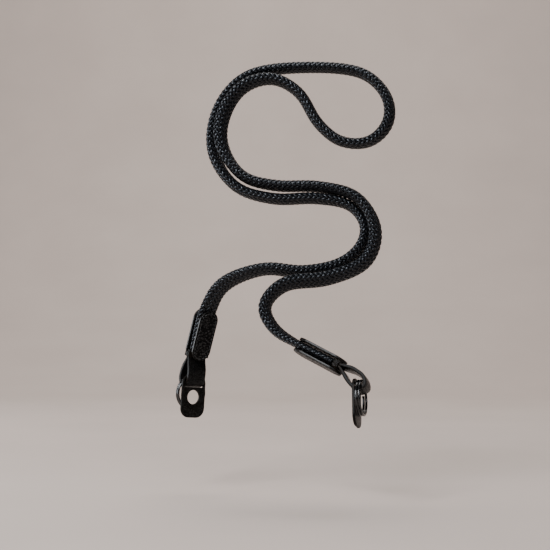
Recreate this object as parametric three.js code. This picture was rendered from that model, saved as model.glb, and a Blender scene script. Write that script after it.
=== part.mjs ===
// A rope camera strap: one flat-oval braided rope, doubled into a standing S with an open loop at its top,
// and at each end two leather covers, a loop strap, a keeper, a split ring and a lug guard.
// Millimetres, +Z up, +X to the right and +Y away from the front.
// The origin lies between the two split rings, at the height where they hang on a camera's lugs.
import * as THREE from "three";

// Rope: sizes of its section, and how it flattens where the covers clamp it
const ROPE_SIDES = 12;
const STEPS_PER_POINT = 2;
const ROPE_SECTIONS = [
  { fromEnd: 0, wide: 12.2, thick: 4.8 },
  { fromEnd: 26, wide: 13.2, thick: 4.9 },
  { fromEnd: 41, wide: 12.3, thick: 6.5 },
];

// Rope route: x, y, z, then the degrees that the wide side is turned away from the depth direction
const ROPE_ROUTE = [
  [-46.3, 29, 29.3, -52],
  [-40, 23.9, 53.7, -52],
  [-30.7, 18, 69.2, -42],
  [-4, 6, 79.1, -21],
  [20, 3, 77.1, -27],
  [43.5, 2, 82.1, -28],
  [55.8, 2, 92.9, -29],
  [58.3, 2.4, 105.2, -27],
  [49.6, 2.9, 117.5, 0],
  [28, -0.3, 122, 12],
  [2, -0.6, 121.7, 10],
  [-21, 0.6, 129, 0],
  [-34.2, 2, 147.2, -22],
  [-35.1, 2.2, 166, -33],
  [-27, 2.6, 186.2, -24],
  [-12.9, 2.3, 198.7, -8],
  [20, 1.5, 203.6, 0],
  [58.2, 1, 199, 2],
  [72, 0, 183.5, 18],
  [71.9, 0, 168.5, 27],
  [60.5, -1, 157, 8],
  [43, -2, 156.9, -8],
  [29, -2, 168, -8],
  [17, -3, 187, -4],
  [0.5, -3.2, 195.5, 6],
  [-17.8, -3.6, 189.9, 24],
  [-28.9, -3.3, 173.3, 33],
  [-30.3, -3, 155.5, 31],
  [-17.6, -1.4, 135.9, 0],
  [2, 0.4, 130.1, -10],
  [30, -0.1, 129.2, -10],
  [52.7, -3.8, 122.2, 0],
  [63.7, -3.3, 103, 34],
  [58.2, -3, 83.8, 34],
  [35, -3, 73, 36],
  [7.4, -3.5, 68.8, 40],
  [-4, -5, 55.6, 24],
  [2, -8.5, 42.3, 18],
  [16.4, -14.2, 32.8, -6],
  [37.1, -24.7, 21.9, -8],
];

// Leather covers: two tongues with round ends, measured along the end from its keeper
const COVER_WIDE = 13.4;
const COVER_THICK = 1.5;
const COVER_LOW = -3.3;
const COVER_HIGH = 29.6;
const COVER_INNER = 2.9;
const EDGE_ROUND = 0.3;

// Loop strap: a strip pared thin where it is clamped, and half the distance between its two layers,
// down from the keeper to the fold
const STRAP_WIDE = 13;
const STRAP_THICK = 1.3;
const LOOP_THICK = 2;
const PARED_FROM = -2.2;
const PARED_TO = -9;
const STRAP_LAYERS = [
  { along: 2.6, half: 0.75 },
  { along: -2.2, half: 0.75 },
  { along: -5.2, half: 1.75 },
  { along: -9, half: 3.4 },
  { along: -13.5, half: 4.3 },
  { along: -17.5, half: 4.1 },
];
const STRAP_FOLD = -20.9;
const STRAP_STEPS = 40;

// Keeper: a narrow band round the two layers
const KEEPER_WIDE = 13.4;
const KEEPER_DEEP = 3.2;
const KEEPER_WALL = 1;
const KEEPER_LONG = 3;
const KEEPER_ROUND = 0.6;

// Split ring: round wire in two turns side by side, which change over across a short stretch
const RING_RADIUS = 9.9;
const WIRE_RADIUS = 0.75;
const TURN_OFFSET = 0.82;
const CROSSOVER_HALF = 20;
const WIRE_END_GAP = 2;
const RING_STEPS = 60;
const WIRE_SIDES = 8;

// Lug guard: a tab with round corners, a slot for the strap and a hole for the lug, measured from the slot
const GUARD_WIDE = 17.5;
const GUARD_HIGH = 5.7;
const GUARD_LOW = -21.8;
const GUARD_ROUND = 6;
const GUARD_THICK = 1.6;
const SLOT_WIDE = 14.2;
const SLOT_HIGH = 5.3;
const LUG_HOLE_RADIUS = 4.5;
const LUG_HOLE_DROP = 8.8;
const GUARD_BEHIND_RING = 2.75;

// Ends: the keeper's place, the way to the rope, the way across the leather, how far the loop sags,
// where the ring's top passes through the loop, the degrees that the ring and guard lean as they hang,
// which side of the ring the guard is on, and how far below the ring's top the strap passes through it
const ENDS = [
  {
    name: "left",
    keeper: [-47.2, 29.8, 26.2],
    along: [0.245, -0.2, 0.949],
    across: [0.79, 0.6, 0],
    sag: 1.2,
    ringTop: { along: -15.5, off: 0.6 },
    hangLean: 0,
    guardSide: 1,
    slotDrop: 3.5,
  },
  {
    name: "right",
    keeper: [39.8, -26, 20.2],
    along: [-0.809, 0.407, 0.426],
    across: [0.29, 0.905, -0.312],
    sag: -3.3,
    ringTop: { along: -16.2, off: -1.6 },
    hangLean: -5,
    guardSide: -1,
    slotDrop: 4.8,
  },
];

const ROPE_FINISH = { color: 0x17181b, roughness: 0.8, metalness: 0 };
const LEATHER_FINISH = { color: 0x1d1a18, roughness: 0.55, metalness: 0 };
const RING_FINISH = { color: 0x0b0b0c, roughness: 0.25, metalness: 0.9 };

// Axes that stand an outline drawn in X and Y on its side, so that its depth runs across or along an end
const DEPTH_ACROSS = new THREE.Matrix4().makeBasis(
  new THREE.Vector3(0, 1, 0),
  new THREE.Vector3(0, 0, 1),
  new THREE.Vector3(1, 0, 0),
);
const DEPTH_ALONG = new THREE.Matrix4().makeBasis(
  new THREE.Vector3(0, 0, 1),
  new THREE.Vector3(1, 0, 0),
  new THREE.Vector3(0, 1, 0),
);

function piece(name, geometry, finish) {
  const mesh = new THREE.Mesh(geometry, new THREE.MeshStandardMaterial(finish));
  mesh.name = name;
  return mesh;
}

function circleSection(radius, sides) {
  const corners = [];
  for (let i = 0; i < sides; i++) {
    const angle = (2 * Math.PI * i) / sides;
    corners.push(new THREE.Vector2(radius * Math.cos(angle), radius * Math.sin(angle)));
  }
  return new THREE.Shape(corners);
}

function roundedOutline(Kind, wide, low, high, round) {
  const side = wide / 2 - round;
  const outline = new Kind();
  outline.absarc(side, high - round, round, 0, Math.PI / 2);
  outline.absarc(-side, high - round, round, Math.PI / 2, Math.PI);
  outline.absarc(-side, low + round, round, Math.PI, 1.5 * Math.PI);
  outline.absarc(side, low + round, round, 1.5 * Math.PI, 2 * Math.PI);
  outline.closePath();
  return outline;
}

// A flat piece of leather of the given outline, with its two rims taken off, centred on its own thickness
function leatherTab(outline, thick) {
  const tab = new THREE.ExtrudeGeometry(outline, {
    depth: thick - 2 * EDGE_ROUND,
    bevelEnabled: true,
    bevelThickness: EDGE_ROUND,
    bevelSize: EDGE_ROUND,
    bevelOffset: -EDGE_ROUND,
    bevelSegments: 1,
    curveSegments: 6,
  });
  return tab.translate(0, 0, EDGE_ROUND - thick / 2);
}

// The rope's line, which carries the width, thickness and turn of its section
class RopeLine extends THREE.CatmullRomCurve3 {
  constructor(rows) {
    super(rows.map(([x, y, z]) => new THREE.Vector3(x, y, z)));
    this.turns = rows.map((row) => THREE.MathUtils.degToRad(row[3]));
  }

  // Stations crowd together in the bends, where the route's points do
  getSpacedPoints(steps) {
    return this.getPoints(steps);
  }

  turnAt(share) {
    const place = share * (this.turns.length - 1);
    const before = Math.min(Math.floor(place), this.turns.length - 2);
    return THREE.MathUtils.lerp(this.turns[before], this.turns[before + 1], place - before);
  }

  computeFrenetFrames(steps) {
    const depth = new THREE.Vector3(0, 1, 0);
    const lengths = this.getLengths(steps);
    const frames = { tangents: [], normals: [], binormals: [] };
    for (let i = 0; i <= steps; i++) {
      const tangent = this.getTangent(i / steps);
      const across = depth.clone().projectOnPlane(tangent).normalize();
      across.applyAxisAngle(tangent, this.turnAt(i / steps));
      const section = ropeSection(Math.min(lengths[i], lengths[steps] - lengths[i]));
      frames.tangents.push(tangent);
      frames.normals.push(across.clone().multiplyScalar(section.wide));
      frames.binormals.push(tangent.clone().cross(across).multiplyScalar(section.thick));
    }
    return frames;
  }
}

function ropeSection(fromEnd) {
  const next = ROPE_SECTIONS.findIndex((row) => row.fromEnd > fromEnd);
  if (next < 0) {
    return ROPE_SECTIONS.at(-1);
  }
  const a = ROPE_SECTIONS[next - 1];
  const b = ROPE_SECTIONS[next];
  const share = (fromEnd - a.fromEnd) / (b.fromEnd - a.fromEnd);
  return {
    wide: THREE.MathUtils.lerp(a.wide, b.wide, share),
    thick: THREE.MathUtils.lerp(a.thick, b.thick, share),
  };
}

function rope() {
  const line = new RopeLine(ROPE_ROUTE);
  const tube = new THREE.ExtrudeGeometry(circleSection(0.5, ROPE_SIDES), {
    steps: STEPS_PER_POINT * (ROPE_ROUTE.length - 1),
    extrudePath: line,
  });
  return piece("rope", tube, ROPE_FINISH);
}

function cover(name, side) {
  const round = COVER_WIDE / 2;
  const tongue = leatherTab(
    roundedOutline(THREE.Shape, COVER_WIDE, COVER_LOW, COVER_HIGH, round),
    COVER_THICK,
  );
  const mesh = piece(name, tongue, LEATHER_FINISH);
  mesh.position.z = side * (COVER_INNER + COVER_THICK / 2);
  return mesh;
}

// The strip's middle line: down one layer, round the fold and up the other, sagging more towards the fold
function strapLine(sag) {
  const drop = (along) => sag * THREE.MathUtils.smoothstep(-along, 0, -STRAP_FOLD);
  const layer = (side) =>
    STRAP_LAYERS.map(({ along, half }) => new THREE.Vector3(along, side * half + drop(along), 0));
  const fold = new THREE.Vector3(STRAP_FOLD, drop(STRAP_FOLD), 0);
  return new THREE.CatmullRomCurve3([...layer(1), fold, ...layer(-1).reverse()]);
}

function loopStrap(name, sag) {
  const line = strapLine(sag);
  const outer = [];
  const inner = [];
  for (let i = 0; i <= STRAP_STEPS; i++) {
    const at = line.getPoint(i / STRAP_STEPS);
    const way = line.getTangent(i / STRAP_STEPS);
    const full = THREE.MathUtils.smoothstep(-at.x, -PARED_FROM, -PARED_TO);
    const thick = THREE.MathUtils.lerp(STRAP_THICK, LOOP_THICK, full);
    const off = new THREE.Vector2(way.y, -way.x).multiplyScalar(thick / 2);
    outer.push(new THREE.Vector2(at.x, at.y).sub(off));
    inner.push(new THREE.Vector2(at.x, at.y).add(off));
  }
  const strip = new THREE.ExtrudeGeometry(new THREE.Shape([...outer, ...inner.reverse()]), {
    depth: STRAP_WIDE,
    bevelEnabled: false,
  });
  strip.translate(0, 0, -STRAP_WIDE / 2).applyMatrix4(DEPTH_ACROSS);
  return piece(name, strip, LEATHER_FINISH);
}

function keeper(name) {
  const outerDeep = KEEPER_DEEP + 2 * KEEPER_WALL;
  const outerWide = KEEPER_WIDE + 2 * KEEPER_WALL;
  const wall = roundedOutline(THREE.Shape, outerDeep, -outerWide / 2, outerWide / 2, KEEPER_ROUND);
  wall.holes.push(
    roundedOutline(THREE.Path, KEEPER_DEEP, -KEEPER_WIDE / 2, KEEPER_WIDE / 2, KEEPER_ROUND / 2),
  );
  const band = new THREE.ExtrudeGeometry(wall, {
    depth: KEEPER_LONG,
    bevelEnabled: false,
    curveSegments: 3,
  });
  band.translate(0, 0, -KEEPER_LONG / 2).applyMatrix4(DEPTH_ALONG);
  return piece(name, band, LEATHER_FINISH);
}

// The wire's middle line: one turn behind, across, and one turn in front, with its two ends at the crossing
class SplitRingLine extends THREE.Curve {
  getPoint(share) {
    const first = CROSSOVER_HALF + WIRE_END_GAP;
    const degrees = THREE.MathUtils.lerp(first, 720 - first, share);
    const across = THREE.MathUtils.smoothstep(degrees, 360 - CROSSOVER_HALF, 360 + CROSSOVER_HALF);
    const angle = THREE.MathUtils.degToRad(degrees);
    return new THREE.Vector3(
      RING_RADIUS * Math.cos(angle),
      RING_RADIUS * Math.sin(angle),
      TURN_OFFSET * (2 * across - 1),
    );
  }
}

function splitRing(name) {
  const wire = new THREE.ExtrudeGeometry(circleSection(WIRE_RADIUS, WIRE_SIDES), {
    steps: RING_STEPS,
    extrudePath: new SplitRingLine(),
  });
  const mesh = piece(name, wire, RING_FINISH);
  mesh.position.y = -RING_RADIUS;
  return mesh;
}

function lugGuard(name, side, slotDrop) {
  const tab = roundedOutline(THREE.Shape, GUARD_WIDE, GUARD_LOW, GUARD_HIGH, GUARD_ROUND);
  tab.holes.push(
    roundedOutline(THREE.Path, SLOT_WIDE, -SLOT_HIGH / 2, SLOT_HIGH / 2, EDGE_ROUND),
    new THREE.Path().absarc(0, -LUG_HOLE_DROP, LUG_HOLE_RADIUS, 0, 2 * Math.PI),
  );
  const mesh = piece(name, leatherTab(tab, GUARD_THICK), LEATHER_FINISH);
  mesh.position.set(0, -slotDrop, side * GUARD_BEHIND_RING);
  return mesh;
}

// One leather end, with X across the leather, Y along it to the rope and Z out of its front cover
function strapEnd({ name, keeper: place, along, across, sag, ringTop, hangLean, guardSide, slotDrop }) {
  const way = new THREE.Vector3(...along).normalize();
  const wide = new THREE.Vector3(...across).projectOnPlane(way).normalize();
  const front = wide.clone().cross(way);
  const end = new THREE.Group();
  end.quaternion.setFromRotationMatrix(new THREE.Matrix4().makeBasis(wide, way, front));
  end.position.set(...place);

  // The ring and the guard hang down from the ring's top, whichever way the leather leans
  const hanging = new THREE.Group();
  hanging.position.set(0, ringTop.along, ringTop.off);
  hanging.rotation.x = Math.atan2(front.z, way.z) + THREE.MathUtils.degToRad(hangLean);
  hanging.add(splitRing(`${name}_split_ring`), lugGuard(`${name}_lug_guard`, guardSide, slotDrop));

  end.add(
    cover(`${name}_front_cover`, 1),
    cover(`${name}_back_cover`, -1),
    loopStrap(`${name}_loop_strap`, sag),
    keeper(`${name}_keeper`),
    hanging,
  );
  return end;
}

const strap = new THREE.Group();
strap.add(rope(), ...ENDS.map(strapEnd));

export default strap;
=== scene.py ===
"""A rope camera strap: a braided flat-oval rope in a standing S, and its leather ends with split rings."""
import math

import bpy
import numpy as np
from mathutils import Matrix, Vector


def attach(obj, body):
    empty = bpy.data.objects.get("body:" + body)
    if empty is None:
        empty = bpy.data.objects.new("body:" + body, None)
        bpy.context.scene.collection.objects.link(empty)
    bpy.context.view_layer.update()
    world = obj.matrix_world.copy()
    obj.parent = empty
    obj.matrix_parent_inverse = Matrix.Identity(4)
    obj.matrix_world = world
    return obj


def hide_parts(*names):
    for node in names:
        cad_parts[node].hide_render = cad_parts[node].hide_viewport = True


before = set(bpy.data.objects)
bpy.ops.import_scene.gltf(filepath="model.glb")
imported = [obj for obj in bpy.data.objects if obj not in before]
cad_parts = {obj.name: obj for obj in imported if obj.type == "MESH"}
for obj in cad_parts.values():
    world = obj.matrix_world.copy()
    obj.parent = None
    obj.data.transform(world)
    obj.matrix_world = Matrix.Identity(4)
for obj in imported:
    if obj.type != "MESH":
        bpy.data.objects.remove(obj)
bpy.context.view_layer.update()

MM = 0.001

# The view: a camera low in front of the strap, tipped up a little
CAMERA_PLACE = (0.0025, -0.650, 0.041)
CAMERA_TIP = 93
FRAME_PIXELS = 550
FOCAL_PIXELS = 1066
SENSOR = 36

# The rope's route in metres, left end to right end, and the degrees that its wide side is turned from depth
ROPE_ROUTE = [
    (-0.0463, 0.0290, 0.0293, -52),
    (-0.0400, 0.0239, 0.0537, -52),
    (-0.0307, 0.0180, 0.0692, -42),
    (-0.0040, 0.0060, 0.0791, -21),
    (0.0200, 0.0030, 0.0771, -27),
    (0.0435, 0.0020, 0.0821, -28),
    (0.0558, 0.0020, 0.0929, -29),
    (0.0583, 0.0024, 0.1052, -27),
    (0.0496, 0.0029, 0.1175, 0),
    (0.0280, -0.0003, 0.1220, 12),
    (0.0020, -0.0006, 0.1217, 10),
    (-0.0210, 0.0006, 0.1290, 0),
    (-0.0342, 0.0020, 0.1472, -22),
    (-0.0351, 0.0022, 0.1660, -33),
    (-0.0270, 0.0026, 0.1862, -24),
    (-0.0129, 0.0023, 0.1987, -8),
    (0.0200, 0.0015, 0.2036, 0),
    (0.0582, 0.0010, 0.1990, 2),
    (0.0720, 0.0000, 0.1835, 18),
    (0.0719, 0.0000, 0.1685, 27),
    (0.0605, -0.0010, 0.1570, 8),
    (0.0430, -0.0020, 0.1569, -8),
    (0.0290, -0.0020, 0.1680, -8),
    (0.0170, -0.0030, 0.1870, -4),
    (0.0005, -0.0032, 0.1955, 6),
    (-0.0178, -0.0036, 0.1899, 24),
    (-0.0289, -0.0033, 0.1733, 33),
    (-0.0303, -0.0030, 0.1555, 31),
    (-0.0176, -0.0014, 0.1359, 0),
    (0.0020, 0.0004, 0.1301, -10),
    (0.0300, -0.0001, 0.1292, -10),
    (0.0527, -0.0038, 0.1222, 0),
    (0.0637, -0.0033, 0.1030, 34),
    (0.0582, -0.0030, 0.0838, 34),
    (0.0350, -0.0030, 0.0730, 36),
    (0.0074, -0.0035, 0.0688, 40),
    (-0.0040, -0.0050, 0.0556, 24),
    (0.0020, -0.0085, 0.0423, 18),
    (0.0164, -0.0142, 0.0328, -6),
    (0.0371, -0.0247, 0.0219, -8),
]

# Distance from a rope end, and the section's width and thickness there
ROPE_FROM_END = (0.0000, 0.0260, 0.0410)
ROPE_WIDTHS = (0.0122, 0.0132, 0.0123)
ROPE_THICKS = (0.0048, 0.0049, 0.0065)

# The braid: each lay's yarns pass over two and under two of the other's. Lengths are along the rope, and
# YARN_WAVE is how far a yarn rises and dips. FLOAT_FLAT is how flat it lies on top, YARN_PROUD how far it
# stands out of the section, and YARN_SHIFT, in millimetres, keeps the filaments of two yarns from matching.
YARNS_PER_LAY = 12
YARN_TURN = 0.036
STEPS_PER_CROSSING = 2
YARN_SIDES = 6
YARN_WIDE = 0.00174
YARN_THICK = 0.00096
YARN_WAVE = 0.0005
YARN_PROUD = 0.0001
FLOAT_FLAT = 3.4
YARN_SHIFT = 7.3
ROUTE_EASE = 0.003
CORE_SIDES = 20
CORE_INSET = 0.0010

# Leather covers, measured along an end from its keeper
COVER_WIDE = 0.0134
COVER_THICK = 0.0015
COVER_LOW = -0.0033
COVER_HIGH = 0.0296
COVER_INNER = 0.0029
BORDER_WIDE = 0.0010
SEAM_WIDE = 0.0009
SEAM_DEEP = 0.00018
CROWN_WIDE = 0.0016
CROWN_HIGH = 0.0001
COVER_ROUND = 0.998 * COVER_WIDE / 2
COVER_ROUND_STEPS = 14
COVER_RIM = 0.00032

# The covers' stitches
STITCH_PITCH = 0.0023
STITCH_LONG = 0.0017
STITCH_THICK = 0.00042
STITCH_SUNK = 0.00012
STITCH_ARCH = 0.0001
STITCH_SLANT = 0.09
STITCH_RINGS = 7
STITCH_SIDES = 8

# Loop strap: thin where it is clamped and full from PARED_TO on. Its layers give a place along the end and
# half the distance between the two layers' middles there, from keeper to fold.
STRAP_WIDE = 0.013
STRAP_THICK = 0.0013
LOOP_THICK = 0.002
PARED_FROM = -0.0022
PARED_TO = -0.009
STRAP_LAYERS = [
    (0.0026, 0.00075),
    (-0.0022, 0.00075),
    (-0.0052, 0.00175),
    (-0.0090, 0.0034),
    (-0.0135, 0.0043),
    (-0.0175, 0.0041),
]
STRAP_FOLD = -0.0209
STRAP_STEPS = 48
STRAP_RIM = 0.00022

# Keeper: the clear size inside the band
KEEPER_WIDE = 0.0134
KEEPER_DEEP = 0.0032
KEEPER_WALL = 0.001
KEEPER_LONG = 0.003
KEEPER_ROUND = 0.0008
KEEPER_ROUND_STEPS = 5
KEEPER_RIM = 0.00025

# Split ring: two turns of wire, side by side, that cross over once; angles are in degrees
RING_RADIUS = 0.0099
WIRE_RADIUS = 0.00075
TURN_OFFSET = 0.00082
CROSSOVER_HALF = 20
WIRE_END_GAP = 2
TURN_STEPS = 64
CROSSOVER_STEPS = 10
WIRE_SIDES = 14
WIRE_END_RIM = 0.00018

# Lug guard, measured from its slot
GUARD_WIDE = 0.0175
GUARD_HIGH = 0.0057
GUARD_LOW = -0.0218
GUARD_ROUND = 0.006
GUARD_ROUND_STEPS = 10
GUARD_THICK = 0.0016
GUARD_RIM = 0.00035
SLOT_WIDE = 0.0142
SLOT_HIGH = 0.0053
SLOT_ROUND = 0.0006
SLOT_ROUND_STEPS = 4
LUG_HOLE_RADIUS = 0.0045
LUG_HOLE_SIDES = 40
LUG_HOLE_DROP = 0.0088
GUARD_BEHIND_RING = 0.00275

# Each end: the keeper's place, the ways to the rope and across the covers, how far the fold sags to the
# front, where the ring's top hangs, its lean in degrees, the guard's side of the ring and its slot's drop
ENDS = {
    "left": dict(
        keeper=(-0.0472, 0.0298, 0.0262),
        along=(0.245, -0.2, 0.949),
        across=(0.79, 0.6, 0),
        sag=0.0012,
        ring_top=(0, -0.0155, 0.0006),
        hang_lean=0,
        guard_side=1,
        slot_drop=0.0035,
    ),
    "right": dict(
        keeper=(0.0398, -0.0260, 0.0202),
        along=(-0.809, 0.407, 0.426),
        across=(0.29, 0.905, -0.312),
        sag=-0.0033,
        ring_top=(0, -0.0162, -0.0016),
        hang_lean=-5,
        guard_side=-1,
        slot_drop=0.0048,
    ),
}

# Points of a piece that are closer than this become one, and rims sharper than these degrees are rounded
MERGE = 0.00006
WIRE_MERGE = 0.000001
SHARP = 50
WIRE_SHARP = 60

# The studio: a floor that bends up into a backdrop, made from a square plane
FLOOR_HEIGHT = -0.061
SWEEP_SIZE = 6
SWEEP_MIDDLE = -0.8
SWEEP_STRETCH = 3
SWEEP_FRONT = 10
SWEEP_EDGE = 2.9
BACKDROP_HIGH = 4
BACKDROP_BEND = 1.2
BACKDROP_BEND_STEPS = 24

# Each light: its name, place, target, size, power in watts and colour
LIGHTS = [
    ("soft_key", (-0.6, -1.05, 1.0), (0, 0, 0.09), 0.7, 40, (0.94, 0.97, 1)),
    ("side_light", (-1.1, 0.32, 0.15), (0, 0, 0.05), 0.5, 10, (0.9, 0.95, 1)),
    ("soft_fill", (0.5, -1.2, 0.5), (0, 0, 0.09), 0.5, 4, (0.95, 0.97, 1)),
    ("top_light", (0.1, 0.4, 1.6), (0, 0, 0.09), 0.8, 7, (1, 1, 1)),
    ("backdrop_light", (0, 0.7, 1.9), (0, 2.2, 0.5), 1.6, 45, (1, 0.965, 0.935)),
]
AIR_COLOUR = (0.95, 0.96, 1, 1)
AIR_STRENGTH = 0.05


# Materials


class Finish:
    """A material with short ways to add the nodes its pattern needs."""

    def __init__(self, name):
        self.material = bpy.data.materials.new(name)
        self.material.use_nodes = True
        self.nodes = self.material.node_tree.nodes
        self.links = self.material.node_tree.links
        self.shader = self.nodes["Principled BSDF"]

    def set(self, **values):
        for key, value in values.items():
            self.shader.inputs[key.replace("_", " ")].default_value = value

    def drive(self, key, out):
        self.links.new(out, self.shader.inputs[key])

    def add(self, kind, inputs=None, **settings):
        node = self.nodes.new(kind)
        for key, value in settings.items():
            setattr(node, key, value)
        for key, value in (inputs or {}).items():
            if isinstance(value, bpy.types.NodeSocket):
                self.links.new(value, node.inputs[key])
            else:
                node.inputs[key].default_value = value
        return node

    def place(self, stretch=(1, 1, 1)):
        where = self.add("ShaderNodeTexCoord").outputs["Object"]
        return self.add("ShaderNodeMapping", {"Vector": where, "Scale": stretch}).outputs["Vector"]

    def noise(self, vector, scale, detail, roughness=0.55):
        inputs = {"Vector": vector, "Scale": scale, "Detail": detail, "Roughness": roughness}
        return self.add("ShaderNodeTexNoise", inputs).outputs["Fac"]

    def ramp(self, value, stops):
        node = self.add("ShaderNodeValToRGB", {"Fac": value})
        ends = node.color_ramp.elements
        while len(ends) < len(stops):
            ends.new(0.5)
        for end, (position, colour) in zip(ends, stops):
            end.position = position
            end.color = (*colour, 1)
        return node.outputs["Color"]

    def range(self, value, low, high, start=0, stop=1):
        inputs = {"Value": value, "From Min": start, "From Max": stop, "To Min": low, "To Max": high}
        return self.add("ShaderNodeMapRange", inputs).outputs["Result"]

    def maths(self, operation, a, b):
        return self.add("ShaderNodeMath", {0: a, 1: b}, operation=operation).outputs["Value"]

    def bump(self, height, depth, strength, over=None):
        inputs = {"Height": height, "Distance": depth, "Strength": strength}
        if over is not None:
            inputs["Normal"] = over
        return self.add("ShaderNodeBump", inputs).outputs["Normal"]


def yarn_finish():
    """Black braid yarn: fine filaments that twist along it, with a cool sheen."""
    f = Finish("black_yarn")
    f.set(Specular_IOR_Level=0.3, Specular_Tint=(0.84, 0.9, 1, 1))
    uv = f.add("ShaderNodeUVMap", uv_map="yarn").outputs["UV"]
    twist = f.add("ShaderNodeMapping", {"Vector": uv, "Scale": (0.35, 5.0, 1)}).outputs["Vector"]
    strand = f.add(
        "ShaderNodeTexWave",
        {"Vector": twist, "Scale": 1.0, "Distortion": 0.6, "Detail": 1.0},
        bands_direction="DIAGONAL",
    ).outputs["Fac"]
    patch = f.noise(f.place(), 900, 2)
    mixed = f.maths("ADD", f.maths("MULTIPLY", strand, 0.45), f.maths("MULTIPLY", patch, 0.7))
    colour = f.ramp(mixed, [(0.2, (0.0006, 0.0006, 0.0008)), (0.85, (0.005, 0.0054, 0.0068))])
    f.drive("Base Color", colour)
    f.drive("Roughness", f.range(patch, 0.25, 0.37))
    f.drive("Normal", f.bump(strand, 0.00006, 0.4))
    return f.material


def core_finish():
    """The dark inside of the braid that shows between the yarns."""
    f = Finish("dark_core")
    f.set(Specular_IOR_Level=0.15)
    fuzz = f.noise(f.place(), 1800, 3)
    f.drive("Base Color", f.ramp(fuzz, [(0.3, (0.0008, 0.0008, 0.001)), (0.8, (0.003, 0.003, 0.0035))]))
    f.drive("Roughness", f.range(fuzz, 0.8, 0.95))
    f.drive("Normal", f.bump(fuzz, 0.0001, 0.6))
    return f.material


def grain_finish(name, dark, light, pebble, depth, gloss=1.0):
    """Grained leather: shiny pebbles with dull creases between them, and rubbed patches."""
    f = Finish(name)
    f.set(Specular_IOR_Level=0.25 * gloss, Specular_Tint=(0.9, 0.95, 1, 1))
    place = f.place()
    wander = f.add("ShaderNodeTexNoise", {"Vector": place, "Scale": 700.0, "Detail": 2.0}).outputs["Color"]
    bent = f.add(
        "ShaderNodeVectorMath", {0: wander, 1: (0.0007, 0.0007, 0.0007), 2: place}, operation="MULTIPLY_ADD"
    ).outputs["Vector"]
    pebbles = f.add(
        "ShaderNodeTexVoronoi", {"Vector": bent, "Scale": pebble, "Smoothness": 0.5}, feature="SMOOTH_F1"
    ).outputs["Distance"]
    fine = f.noise(place, 4200, 3)
    patch = f.noise(place, 190, 3)
    tone = f.maths("ADD", f.maths("MULTIPLY", pebbles, 0.5), f.maths("MULTIPLY", patch, 0.65))
    f.drive("Base Color", f.ramp(tone, [(0.25, light), (0.8, dark)]))
    f.drive("Roughness", f.range(patch, 0.22, 0.4))
    f.drive("Specular IOR Level", f.range(pebbles, 0.45 * gloss, 0.04 * gloss, 0.15, 0.5))
    grain = f.bump(f.range(pebbles, 1, 0), depth, 0.8)
    f.drive("Normal", f.bump(fine, 0.00004, 0.5, over=grain))
    return f.material


def edge_finish(name, worn, sheen, roughness):
    """Cut leather edge: packed fibres, dyed and rubbed smooth, brown where the dye is worn."""
    f = Finish(name)
    f.set(Specular_IOR_Level=sheen)
    place = f.place()
    fibres = f.noise(place, 2600, 4, 0.65)
    patch = f.noise(place, 260, 2)
    tone = f.maths("ADD", f.maths("MULTIPLY", fibres, 0.45), f.maths("MULTIPLY", patch, 0.55))
    stops = [(0.36, (0.0015, 0.0013, 0.0012)), (0.56, (0.0055, 0.0043, 0.0036)), (0.74, worn)]
    f.drive("Base Color", f.ramp(tone, stops))
    f.drive("Roughness", f.range(patch, *roughness))
    f.drive("Normal", f.bump(fibres, 0.00007, 0.5))
    return f.material


def thread_finish():
    """Waxed black thread with its two plies."""
    f = Finish("black_thread")
    f.set(Specular_IOR_Level=0.45)
    ply = f.noise(f.place(), 2400, 2)
    f.drive("Base Color", f.ramp(ply, [(0.3, (0.012, 0.012, 0.013)), (0.75, (0.045, 0.044, 0.044))]))
    f.drive("Roughness", f.range(ply, 0.4, 0.6))
    f.drive("Normal", f.bump(ply, 0.00008, 0.6))
    return f.material


def ring_finish():
    """Black lacquered steel wire, glossy, with faint rub marks."""
    f = Finish("black_lacquer")
    f.set(Specular_IOR_Level=0.55)
    rub = f.noise(f.place((1, 1, 3)), 700, 3)
    f.drive("Base Color", f.ramp(rub, [(0.35, (0.0015, 0.0015, 0.0016)), (0.8, (0.006, 0.006, 0.0064))]))
    f.drive("Roughness", f.range(rub, 0.08, 0.2))
    f.drive("Normal", f.bump(rub, 0.00001, 0.25))
    return f.material


def floor_finish():
    """Pale matt floor, a little cloudy."""
    f = Finish("pale_floor")
    f.set(Specular_IOR_Level=0.2)
    cloud = f.noise(f.place(), 6, 3)
    f.drive("Base Color", f.ramp(cloud, [(0.2, (0.4, 0.338, 0.303)), (0.8, (0.44, 0.373, 0.336))]))
    f.drive("Roughness", f.range(cloud, 0.7, 0.85))
    return f.material


# Modelling helpers


def start_clean():
    if bpy.context.mode != "OBJECT":
        bpy.ops.object.mode_set(mode="OBJECT")
    bpy.ops.object.select_all(action="DESELECT")


def pick(obj, kind, test):
    """Selects, in edit mode, the vertices, edges or faces that pass the test."""
    bpy.ops.object.mode_set(mode="EDIT")
    bpy.ops.mesh.select_mode(type=kind)
    bpy.ops.mesh.select_all(action="DESELECT")
    bpy.ops.object.mode_set(mode="OBJECT")
    mesh = obj.data
    parts = {"VERT": mesh.vertices, "EDGE": mesh.edges, "FACE": mesh.polygons}[kind]
    for part in parts:
        part.select = test(part)
    bpy.ops.object.mode_set(mode="EDIT")


def edge_way(obj, edge):
    a, b = (obj.data.vertices[i].co for i in edge.vertices)
    return (b - a).normalized()


def apply_modifier(obj, kind, **settings):
    modifier = obj.modifiers.new(kind.lower(), kind)
    for key, value in settings.items():
        setattr(modifier, key, value)
    bpy.ops.object.modifier_apply(modifier=modifier.name)


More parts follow.
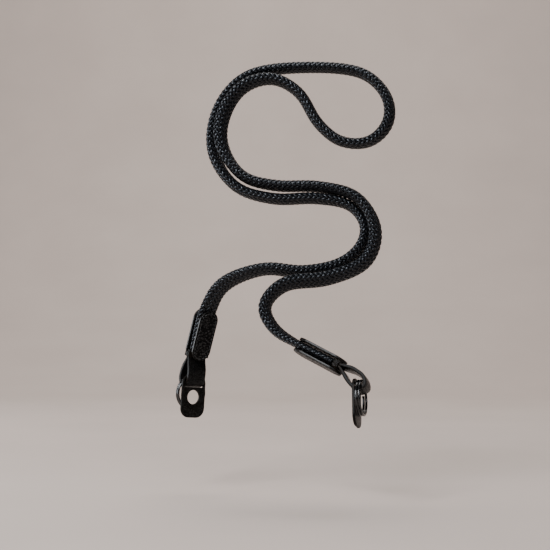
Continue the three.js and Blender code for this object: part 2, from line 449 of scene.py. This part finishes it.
def soften_rims(obj, width, segments, sharp=SHARP):
    """Rounds the rims where two faces meet at a sharp angle."""
    limit = math.radians(sharp)
    apply_modifier(obj, "BEVEL", width=width, segments=segments, limit_method="ANGLE", angle_limit=limit)


def settle(obj, place, smooth=35):
    """Puts a finished piece in its place, with the place in its mesh."""
    start_clean()
    obj.select_set(True)
    bpy.context.view_layer.objects.active = obj
    obj.matrix_world = place
    bpy.ops.object.transform_apply(location=True, rotation=True, scale=True)
    bpy.ops.object.shade_smooth_by_angle(angle=math.radians(smooth))


def hand_over(obj, node=None):
    """Tells the frame what a piece rides on, and hides the solid that it stands for."""
    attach(obj, "root")
    if node:
        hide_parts(node)


def mesh_object(name, points, faces, material):
    mesh = bpy.data.meshes.new(name)
    mesh.from_pydata(points.tolist(), [], faces)
    mesh.polygons.foreach_set("use_smooth", np.ones(len(mesh.polygons), dtype=bool))
    mesh.materials.append(material)
    mesh.update()
    obj = bpy.data.objects.new(name, mesh)
    bpy.context.collection.objects.link(obj)
    return obj


# View


def photo_camera():
    """A camera at the photo's viewing angle."""
    start_clean()
    tip = math.radians(CAMERA_TIP)
    bpy.ops.object.camera_add(location=CAMERA_PLACE, rotation=(tip, 0, 0))
    camera = bpy.context.object
    camera.name = "photo_camera"
    camera.data.sensor_width = SENSOR
    camera.data.lens = SENSOR * FOCAL_PIXELS / FRAME_PIXELS
    camera.data.clip_start = 0.01
    bpy.context.scene.camera = camera


# Rope


def unit(vectors):
    return vectors / np.linalg.norm(vectors, axis=-1, keepdims=True)


def between(t, a, b, first, second):
    """The point at t on the line that is at first when t is a, and at second when t is b."""
    return ((b - t) * first + (t - a) * second) / (b - a)


def route_curve(points, per_span=24):
    """A smooth curve through the points, whose speed follows the square root of their spacing."""
    ends = [2 * points[0] - points[1], *points, 2 * points[-1] - points[-2]]
    curve, shares = [], []
    for i in range(1, len(ends) - 2):
        p = np.array(ends[i - 1:i + 3])
        knots = np.concatenate([[0], np.cumsum(np.linalg.norm(np.diff(p, axis=0), axis=1) ** 0.5)])
        last = i == len(ends) - 3
        for share in np.linspace(0, 1, per_span + last, endpoint=last):
            t = knots[1] + share * (knots[2] - knots[1])
            spans = [between(t, knots[j], knots[j + 1], p[j], p[j + 1]) for j in range(3)]
            bends = [between(t, knots[j], knots[j + 2], spans[j], spans[j + 1]) for j in range(2)]
            curve.append(between(t, knots[1], knots[2], bends[0], bends[1]))
            shares.append(i - 1 + share)
    return np.array(curve), np.array(shares)


def even_steps(curve, step):
    """Even places along a curve, about a step apart, and how far along it each of its points lies."""
    lengths = np.concatenate([[0], np.cumsum(np.linalg.norm(np.diff(curve, axis=0), axis=1))])
    stations = np.linspace(0, lengths[-1], round(lengths[-1] / step) + 1)
    return stations, lengths


def eased(values, spread):
    """Values along the rope, softened over a few steps, with the two ends kept."""
    reach = int(4 * spread)
    weights = np.exp(-0.5 * (np.arange(-reach, reach + 1) / spread) ** 2)
    weights /= weights.sum()
    flat = values.reshape(len(values), -1)
    before = 2 * flat[0] - flat[reach:0:-1]
    after = 2 * flat[-1] - flat[-2:-reach - 2:-1]
    padded = np.vstack([before, flat, after])
    soft = np.column_stack([np.convolve(padded[:, c], weights, "valid") for c in range(flat.shape[1])])
    return soft.reshape(values.shape)


class RopeLay:
    """The rope's centre line at even steps, with the two axes and the two sizes of its section."""

    def __init__(self):
        rows = np.array(ROPE_ROUTE, dtype=float)
        curve, shares = route_curve(rows[:, :3])
        step = YARN_TURN / (2 * YARNS_PER_LAY * STEPS_PER_CROSSING)
        stations, lengths = even_steps(curve, step)
        line = np.column_stack([np.interp(stations, lengths, curve[:, c]) for c in range(3)])
        row_places = np.interp(stations, lengths, shares)
        turns = np.interp(row_places, np.arange(len(rows)), np.radians(rows[:, 3]))
        spread = ROUTE_EASE / step
        self.line = eased(line, spread)
        self.turns = eased(turns, 3 * spread)
        gaps = np.linalg.norm(np.diff(self.line, axis=0), axis=1)
        self.along = np.concatenate([[0], np.cumsum(gaps)])
        self.length = self.along[-1]
        self.way = unit(np.gradient(self.line, self.along, axis=0))
        depth = np.array([0.0, 1.0, 0.0])
        wide = unit(depth - self.way * (self.way @ depth)[:, None])
        side = np.cross(self.way, wide)
        cos, sin = np.cos(self.turns)[:, None], np.sin(self.turns)[:, None]
        self.wide = wide * cos + side * sin
        self.thin = np.cross(self.way, self.wide)
        from_end = np.minimum(self.along, self.length - self.along)
        self.width = eased(np.interp(from_end, ROPE_FROM_END, ROPE_WIDTHS), spread)
        self.thick = eased(np.interp(from_end, ROPE_FROM_END, ROPE_THICKS), spread)
        self.fullness = np.clip(self.thick / ROPE_THICKS[-1], 0.3, 1)

    def around(self, turns, inset):
        """Points and outward normals on the section's oval, with turns counted evenly along its rim."""
        half_wide = self.width / 2 - inset
        half_thick = self.thick / 2 - inset
        angles = np.linspace(0, 2 * math.pi, 97)
        across = half_wide[:, None] * np.cos(angles)
        through = half_thick[:, None] * np.sin(angles)
        pace = np.hypot(np.diff(across, axis=1), np.diff(through, axis=1))
        rim = np.concatenate([np.zeros((len(pace), 1)), np.cumsum(pace, axis=1)], axis=1)
        rim /= rim[:, -1:]
        found = np.stack([np.interp(turns[i] % 1, rim[i], angles) for i in range(len(rim))])
        cos, sin = np.cos(found), np.sin(found)
        a, b = half_wide[:, None], half_thick[:, None]
        wide, thin = self.wide[:, None, :], self.thin[:, None, :]
        points = self.line[:, None, :] + wide * (a * cos)[..., None] + thin * (b * sin)[..., None]
        normals = unit(wide * (b * cos)[..., None] + thin * (a * sin)[..., None])
        return points, normals


def tube_faces(steps, sides, first):
    """The faces of a closed tube whose rings of points start at number first."""
    ring = np.arange(sides)
    here = first + np.arange(steps - 1)[:, None] * sides
    beside = (ring + 1) % sides
    walls = np.stack([here + ring, here + beside, here + sides + beside, here + sides + ring], axis=-1)
    low = [int(first + i) for i in reversed(ring)]
    high = [int(first + (steps - 1) * sides + i) for i in ring]
    return walls.reshape(-1, 4).tolist() + [low, high]


def yarn_lay(name, rope, hand, finish):
    """All yarns of one lay: hand 1 climbs one way round the rope, hand -1 the other."""
    crossings = 2 * YARNS_PER_LAY * rope.along / YARN_TURN
    index = np.arange(YARNS_PER_LAY)
    turns = hand * rope.along[:, None] / YARN_TURN + index / YARNS_PER_LAY
    count = crossings[:, None] * hand + 2 * index
    over = hand * np.tanh(FLOAT_FLAT * np.cos(math.pi / 2 * (count - 0.5))) / math.tanh(FLOAT_FLAT)
    inset = (YARN_WAVE + YARN_THICK / 2 - YARN_PROUD) * rope.fullness
    points, normals = rope.around(turns, inset)
    points = points + normals * (over * YARN_WAVE * rope.fullness[:, None])[..., None]

    angles = 2 * math.pi * (np.arange(YARN_SIDES) + 0.5) / YARN_SIDES
    steps = len(rope.along)
    verts, faces, uvs = [], [], []
    for k in index:
        path = points[:, k]
        way = unit(np.gradient(path, axis=0))
        flat = unit(np.cross(normals[:, k], way))
        out = np.cross(way, flat)
        wide = flat * YARN_WIDE / 2
        tall = out * (YARN_THICK / 2 * rope.fullness)[:, None]
        across = wide[:, None] * np.cos(angles)[:, None]
        ring = path[:, None] + across + tall[:, None] * np.sin(angles)[:, None]
        first = len(verts) * steps * YARN_SIDES
        verts.append(ring.reshape(-1, 3))
        faces += tube_faces(steps, YARN_SIDES, first)
        run = rope.along / MM + YARN_SHIFT * k
        u = np.stack([run[:-1], run[:-1], run[1:], run[1:]], axis=-1)[:, None].repeat(YARN_SIDES, axis=1)
        sides = np.arange(YARN_SIDES) / YARN_SIDES
        v = np.stack([sides, sides + 1 / YARN_SIDES, sides + 1 / YARN_SIDES, sides], axis=-1)[None]
        walls = np.stack([u, np.broadcast_to(v, u.shape)], axis=-1).reshape(-1, 2)
        uvs += [walls, np.zeros((2 * YARN_SIDES, 2))]
    obj = mesh_object(name, np.concatenate(verts), faces, finish)
    layer = obj.data.uv_layers.new(name="yarn")
    layer.data.foreach_set("uv", np.concatenate(uvs).ravel())
    return obj


def braid_core(name, rope, finish):
    """The dark tube inside the yarns, at every second step."""
    turns = np.broadcast_to(np.arange(CORE_SIDES) / CORE_SIDES, (len(rope.along), CORE_SIDES))
    points, _ = rope.around(turns, CORE_INSET * rope.fullness)
    points = points[::2]
    return mesh_object(name, points.reshape(-1, 3), tube_faces(len(points), CORE_SIDES, 0), finish)


def braided_rope():
    """The two lays and the core, each hung on the root body in place of the rope's solid."""
    rope = RopeLay()
    yarn = yarn_finish()
    right_lay = yarn_lay("rope_right_lay", rope, 1, yarn)
    left_lay = yarn_lay("rope_left_lay", rope, -1, yarn)
    core = braid_core("rope_core", rope, core_finish())
    for obj in (right_lay, left_lay, core):
        hand_over(obj, "rope")


# Leather ends


def end_frames(end):
    """An end's frame, X across, Y to the rope and Z out of the front, and the frame its ring hangs in."""
    way = Vector(end["along"]).normalized()
    wide = Vector(end["across"])
    wide = (wide - way * wide.dot(way)).normalized()
    front = wide.cross(way)
    lean = Matrix((wide, way, front)).transposed().to_4x4()
    leather = Matrix.Translation(end["keeper"]) @ lean
    tip = math.atan2(front.z, way.z) + math.radians(end["hang_lean"])
    return leather, leather @ Matrix.Translation(end["ring_top"]) @ Matrix.Rotation(tip, 4, "X")


def block(name, low, high):
    """A box between two corners, ready to be shaped."""
    start_clean()
    low, high = Vector(low), Vector(high)
    bpy.ops.mesh.primitive_cube_add(size=1, location=(low + high) / 2)
    obj = bpy.context.object
    obj.name = obj.data.name = name
    obj.scale = high - low
    bpy.ops.object.transform_apply(location=True, rotation=True, scale=True)
    return obj


def round_edges(obj, axis, radius, segments):
    """Rounds the edges that run along one axis."""
    pick(obj, "EDGE", lambda e: abs(edge_way(obj, e)[axis]) > 0.99)
    bpy.ops.mesh.bevel(offset=radius, segments=segments, affect="EDGES")
    bpy.ops.mesh.select_all(action="SELECT")
    bpy.ops.mesh.remove_doubles(threshold=MERGE)
    bpy.ops.object.mode_set(mode="OBJECT")


def two_finishes(obj, skin, edge):
    obj.data.materials.append(skin)
    obj.data.materials.append(edge)


def face_leather(obj, skin, edge):
    """Gives a flat piece its leather, with the edge's finish on the faces that are cut sides."""
    two_finishes(obj, skin, edge)
    for polygon in obj.data.polygons:
        polygon.material_index = int(abs(polygon.normal.z) < 0.8)


def leather_cover(name, face, skin, edge):
    """A tongue with round ends, a soft rim, a pressed seam line and a crowned middle."""
    near, far = COVER_INNER * face, (COVER_INNER + COVER_THICK) * face
    low = (-COVER_WIDE / 2, COVER_LOW, min(near, far))
    obj = block(name, low, (COVER_WIDE / 2, COVER_HIGH, max(near, far)))
    round_edges(obj, 2, COVER_ROUND, COVER_ROUND_STEPS)
    pick(obj, "FACE", lambda p: p.normal.z * face > 0.99)
    bpy.ops.mesh.inset(thickness=BORDER_WIDE, depth=0)
    bpy.ops.mesh.inset(thickness=SEAM_WIDE / 2, depth=-SEAM_DEEP)
    bpy.ops.mesh.inset(thickness=SEAM_WIDE / 2, depth=SEAM_DEEP)
    bpy.ops.mesh.inset(thickness=CROWN_WIDE, depth=CROWN_HIGH)
    bpy.ops.object.mode_set(mode="OBJECT")
    soften_rims(obj, COVER_RIM, 3)
    face_leather(obj, skin, edge)
    return obj


def smooth_share(share):
    """A share from 0 to 1 that starts and ends gently."""
    share = min(max(share, 0), 1)
    return share * share * (3 - 2 * share)


def loop_line(sag):
    """The loop strap's middle line, as places along the end and out of its front."""
    def drop(along):
        return sag * smooth_share(along / STRAP_FOLD)

    down = [(along, half + drop(along)) for along, half in STRAP_LAYERS]
    up = [(along, drop(along) - half) for along, half in reversed(STRAP_LAYERS)]
    points = np.array([(0, *p) for p in [*down, (STRAP_FOLD, drop(STRAP_FOLD)), *up]])
    curve, _ = route_curve(points)
    full = np.linalg.norm(np.diff(curve, axis=0), axis=1).sum()
    stations, lengths = even_steps(curve, full / STRAP_STEPS)
    return np.column_stack([np.interp(stations, lengths, curve[:, c]) for c in range(3)])


def loop_strap(name, sag, skin, edge):
    """A strip drawn out edge by edge along its line, then given its thickness."""
    line = [Vector(p) for p in loop_line(sag)]
    start_clean()
    bpy.ops.mesh.primitive_plane_add(size=STRAP_WIDE, location=line[0])
    obj = bpy.context.object
    obj.name = obj.data.name = name
    bpy.ops.object.transform_apply(location=True, rotation=True, scale=True)
    pick(obj, "VERT", lambda v: v.co.y > line[0].y)
    bpy.ops.mesh.delete(type="VERT")
    bpy.ops.mesh.select_all(action="SELECT")
    bpy.ops.transform.translate(value=(0, STRAP_WIDE / 2, 0))
    for here, there in zip(line, line[1:]):
        bpy.ops.mesh.extrude_region_move(TRANSFORM_OT_translate={"value": there - here})
    bpy.ops.object.mode_set(mode="OBJECT")
    two_finishes(obj, skin, edge)
    pared = obj.vertex_groups.new(name="pared")
    for v in obj.data.vertices:
        full = smooth_share((v.co.y - PARED_FROM) / (PARED_TO - PARED_FROM))
        pared.add([v.index], 1 + (1 - STRAP_THICK / LOOP_THICK) * (full - 1), "REPLACE")
    apply_modifier(
        obj, "SOLIDIFY", thickness=LOOP_THICK, offset=0, material_offset_rim=1, vertex_group=pared.name
    )
    obj.vertex_groups.clear()
    soften_rims(obj, STRAP_RIM, 2)
    return obj


def keeper_band(name, skin, edge):
    """A narrow band, open at both ends."""
    wide, deep = KEEPER_WIDE / 2 + KEEPER_WALL, KEEPER_DEEP / 2 + KEEPER_WALL
    obj = block(name, (-wide, -KEEPER_LONG / 2, -deep), (wide, KEEPER_LONG / 2, deep))
    pick(obj, "FACE", lambda p: abs(p.normal.y) > 0.9)
    bpy.ops.mesh.delete(type="ONLY_FACE")
    bpy.ops.object.mode_set(mode="OBJECT")
    round_edges(obj, 1, KEEPER_ROUND, KEEPER_ROUND_STEPS)
    two_finishes(obj, skin, edge)
    apply_modifier(obj, "SOLIDIFY", thickness=KEEPER_WALL, offset=-1, material_offset_rim=1)
    soften_rims(obj, KEEPER_RIM, 2)
    return obj


def split_ring(name, finish):
    """Round wire spun a turn behind, led across in short steps, and spun a turn in front."""
    first = math.radians(CROSSOVER_HALF + WIRE_END_GAP)
    turn = math.radians(360 - 2 * CROSSOVER_HALF - WIRE_END_GAP)
    start_clean()
    bpy.ops.mesh.primitive_circle_add(
        vertices=WIRE_SIDES,
        radius=WIRE_RADIUS,
        fill_type="NGON",
        location=(RING_RADIUS * math.cos(first), RING_RADIUS * math.sin(first), -TURN_OFFSET),
        rotation=(math.pi / 2, 0, first),
    )
    obj = bpy.context.object
    obj.name = obj.data.name = name
    bpy.ops.object.transform_apply(location=True, rotation=True, scale=True)
    bpy.ops.object.mode_set(mode="EDIT")
    bpy.ops.mesh.select_all(action="SELECT")
    bpy.ops.mesh.spin(steps=TURN_STEPS, angle=turn, center=(0, 0, 0), axis=(0, 0, 1))
    pace = math.radians(2 * CROSSOVER_HALF) / CROSSOVER_STEPS
    risen = 0.0
    for i in range(1, CROSSOVER_STEPS + 1):
        rise = 2 * TURN_OFFSET * smooth_share(i / CROSSOVER_STEPS)
        bpy.ops.mesh.spin(steps=1, angle=pace, center=(0, 0, 0), axis=(0, 0, 1))
        bpy.ops.transform.translate(value=(0, 0, rise - risen))
        risen = rise
    bpy.ops.mesh.spin(steps=TURN_STEPS, angle=turn, center=(0, 0, 0), axis=(0, 0, 1))
    bpy.ops.mesh.select_all(action="SELECT")
    bpy.ops.mesh.remove_doubles(threshold=WIRE_MERGE)
    bpy.ops.mesh.normals_make_consistent(inside=False)
    bpy.ops.transform.translate(value=(0, -RING_RADIUS, 0))
    bpy.ops.object.mode_set(mode="OBJECT")
    obj.data.materials.append(finish)
    soften_rims(obj, WIRE_END_RIM, 2, WIRE_SHARP)
    return obj


def cut_out(obj, tool):
    """Cuts one piece's form out of another and clears the first away."""
    start_clean()
    obj.select_set(True)
    bpy.context.view_layer.objects.active = obj
    apply_modifier(obj, "BOOLEAN", operation="DIFFERENCE", solver="EXACT", object=tool)
    bpy.data.objects.remove(tool)


def lug_guard(name, end, skin, edge):
    """A tab with round corners, cut through for the strap and for the lug."""
    middle = end["guard_side"] * GUARD_BEHIND_RING
    drop = -end["slot_drop"]
    back, front = middle - GUARD_THICK / 2, middle + GUARD_THICK / 2
    low = (-GUARD_WIDE / 2, drop + GUARD_LOW, back)
    obj = block(name, low, (GUARD_WIDE / 2, drop + GUARD_HIGH, front))
    round_edges(obj, 2, GUARD_ROUND, GUARD_ROUND_STEPS)
    slot_low = (-SLOT_WIDE / 2, drop - SLOT_HIGH / 2, back - GUARD_THICK)
    slot = block("slot_tool", slot_low, (SLOT_WIDE / 2, drop + SLOT_HIGH / 2, front + GUARD_THICK))
    round_edges(slot, 2, SLOT_ROUND, SLOT_ROUND_STEPS)
    cut_out(obj, slot)
    start_clean()
    bpy.ops.mesh.primitive_cylinder_add(
        vertices=LUG_HOLE_SIDES,
        radius=LUG_HOLE_RADIUS,
        depth=3 * GUARD_THICK,
        location=(0, drop - LUG_HOLE_DROP, middle),
    )
    cut_out(obj, bpy.context.object)
    soften_rims(obj, GUARD_RIM, 3)
    face_leather(obj, skin, edge)
    return obj


def seam_stitches(name, face, place, thread):
    """The stitches of one cover, laid end to end in its seam line."""
    half = COVER_WIDE / 2 - BORDER_WIDE - SEAM_WIDE / 2
    straight = COVER_HIGH - COVER_LOW - COVER_WIDE
    round_part = math.pi * half
    seam = 2 * straight + 2 * round_part
    count = round(seam / STITCH_PITCH)
    low, high = COVER_LOW + COVER_WIDE / 2, COVER_HIGH - COVER_WIDE / 2
    height = face * (COVER_INNER + COVER_THICK - STITCH_SUNK)
    share = np.linspace(-1, 1, STITCH_RINGS)
    swell = np.sqrt(np.clip(1 - np.abs(share) ** 3, 0.02, 1))
    arch = STITCH_ARCH * (1 - share ** 2)
    angles = 2 * math.pi * np.arange(STITCH_SIDES) / STITCH_SIDES
    up = np.array((0, 0, 1))
    verts, faces = [], []
    for i in range(count):
        s = (i + 0.5) * seam / count
        if s < straight:
            at, turn = (half, low + s), math.pi / 2
        elif s < straight + round_part:
            a = (s - straight) / half
            at, turn = (half * math.cos(a), high + half * math.sin(a)), a + math.pi / 2
        elif s < 2 * straight + round_part:
            at, turn = (-half, high - (s - straight - round_part)), -math.pi / 2
        else:
            a = math.pi + (s - 2 * straight - round_part) / half
            at, turn = (half * math.cos(a), low + half * math.sin(a)), a + math.pi / 2
        turn += STITCH_SLANT
        way = np.array((math.cos(turn), math.sin(turn), 0))
        side = np.array((-way[1], way[0], 0))
        line = np.array((*at, height)) + way * (share * STITCH_LONG / 2)[:, None] + face * up * arch[:, None]
        rim = side * np.cos(angles)[:, None] + up * np.sin(angles)[:, None]
        verts.append((line[:, None] + rim * (swell * STITCH_THICK / 2)[:, None, None]).reshape(-1, 3))
        faces += tube_faces(STITCH_RINGS, STITCH_SIDES, i * STITCH_RINGS * STITCH_SIDES)
    spun = np.array(place)
    return mesh_object(name, np.concatenate(verts) @ spun[:3, :3].T + spun[:3, 3], faces, thread)


def strap_end(side, skins, edges, thread, steel):
    """All pieces of one end, each in its place and handed over."""
    end = ENDS[side]
    leather, hanging = end_frames(end)
    for label, face in (("front", 1), ("back", -1)):
        cover = leather_cover(f"{side}_{label}_cover_leather", face, skins["cover"], edges["cover"])
        settle(cover, leather)
        hand_over(cover, f"{side}_{label}_cover")
        stitches = seam_stitches(f"{side}_{label}_stitches", face, leather, thread)
        hand_over(stitches)
    loop = loop_strap(f"{side}_loop_strap_leather", end["sag"], skins["strap"], edges["cut"])
    settle(loop, leather)
    hand_over(loop, f"{side}_loop_strap")
    keeper = keeper_band(f"{side}_keeper_leather", skins["keeper"], edges["cut"])
    settle(keeper, leather)
    hand_over(keeper, f"{side}_keeper")
    ring = split_ring(f"{side}_split_ring_wire", steel)
    settle(ring, hanging)
    hand_over(ring, f"{side}_split_ring")
    guard = lug_guard(f"{side}_lug_guard_leather", end, skins["guard"], edges["cut"])
    settle(guard, hanging)
    hand_over(guard, f"{side}_lug_guard")


def leather_ends():
    """Both ends, from the same finishes."""
    skins = {
        "cover": grain_finish(
            "pebbled_leather", (0.0008, 0.0008, 0.0008), (0.0045, 0.0043, 0.0042), 750, 0.0011
        ),
        "strap": grain_finish(
            "smooth_leather", (0.0012, 0.0011, 0.0011), (0.006, 0.0055, 0.0052), 1900, 0.00012
        ),
        "keeper": grain_finish(
            "keeper_leather", (0.003, 0.0023, 0.0019), (0.011, 0.008, 0.006), 1700, 0.00015, gloss=0.35
        ),
        "guard": grain_finish(
            "guard_leather", (0.002, 0.0017, 0.0015), (0.007, 0.0057, 0.0048), 1600, 0.0002
        ),
    }
    edges = {
        "cover": edge_finish("burnished_edge", (0.035, 0.024, 0.016), 0.17, (0.26, 0.44)),
        "cut": edge_finish("leather_edge", (0.02, 0.0125, 0.008), 0.065, (0.3, 0.5)),
    }
    thread, steel = thread_finish(), ring_finish()
    for side in ENDS:
        strap_end(side, skins, edges, thread, steel)


# Studio


def studio_sweep():
    """A pale floor that bends up into a backdrop."""
    start_clean()
    bpy.ops.mesh.primitive_plane_add(size=SWEEP_SIZE, location=(0, SWEEP_MIDDLE, FLOOR_HEIGHT))
    sweep = bpy.context.object
    sweep.name = "studio_sweep"

    def at_back(edge):
        return all(sweep.data.vertices[i].co.y > SWEEP_EDGE for i in edge.vertices)

    def on_floor(edge):
        return all(abs(sweep.data.vertices[i].co.z) < 0.01 for i in edge.vertices)

    pick(sweep, "VERT", lambda v: True)
    bpy.ops.transform.resize(value=(SWEEP_STRETCH, 1, 1))
    pick(sweep, "VERT", lambda v: v.co.y < -SWEEP_EDGE)
    bpy.ops.transform.translate(value=(0, -SWEEP_FRONT, 0))
    pick(sweep, "EDGE", at_back)
    bpy.ops.mesh.extrude_region_move(TRANSFORM_OT_translate={"value": (0, 0, BACKDROP_HIGH)})
    pick(sweep, "EDGE", lambda e: at_back(e) and on_floor(e))
    bpy.ops.mesh.bevel(offset=BACKDROP_BEND, segments=BACKDROP_BEND_STEPS, affect="EDGES")
    bpy.ops.object.mode_set(mode="OBJECT")
    sweep.data.materials.append(floor_finish())
    settle(sweep, sweep.matrix_world.copy(), smooth=60)


def studio_lights():
    """Soft lights in front, above and beside the strap, one on the backdrop, and faint light all round."""
    for name, place, target, size, power, colour in LIGHTS:
        aim = (Vector(target) - Vector(place)).to_track_quat("-Z", "Y").to_euler()
        bpy.ops.object.light_add(type="AREA", location=place, rotation=aim)
        light = bpy.context.object
        light.name = name
        light.data.size = size
        light.data.energy = power
        light.data.color = colour
    world = bpy.data.worlds.new("studio_air")
    world.use_nodes = True
    air = world.node_tree.nodes["Background"].inputs
    air["Color"].default_value = AIR_COLOUR
    air["Strength"].default_value = AIR_STRENGTH
    bpy.context.scene.world = world


photo_camera()
braided_rope()
leather_ends()
studio_sweep()
studio_lights()
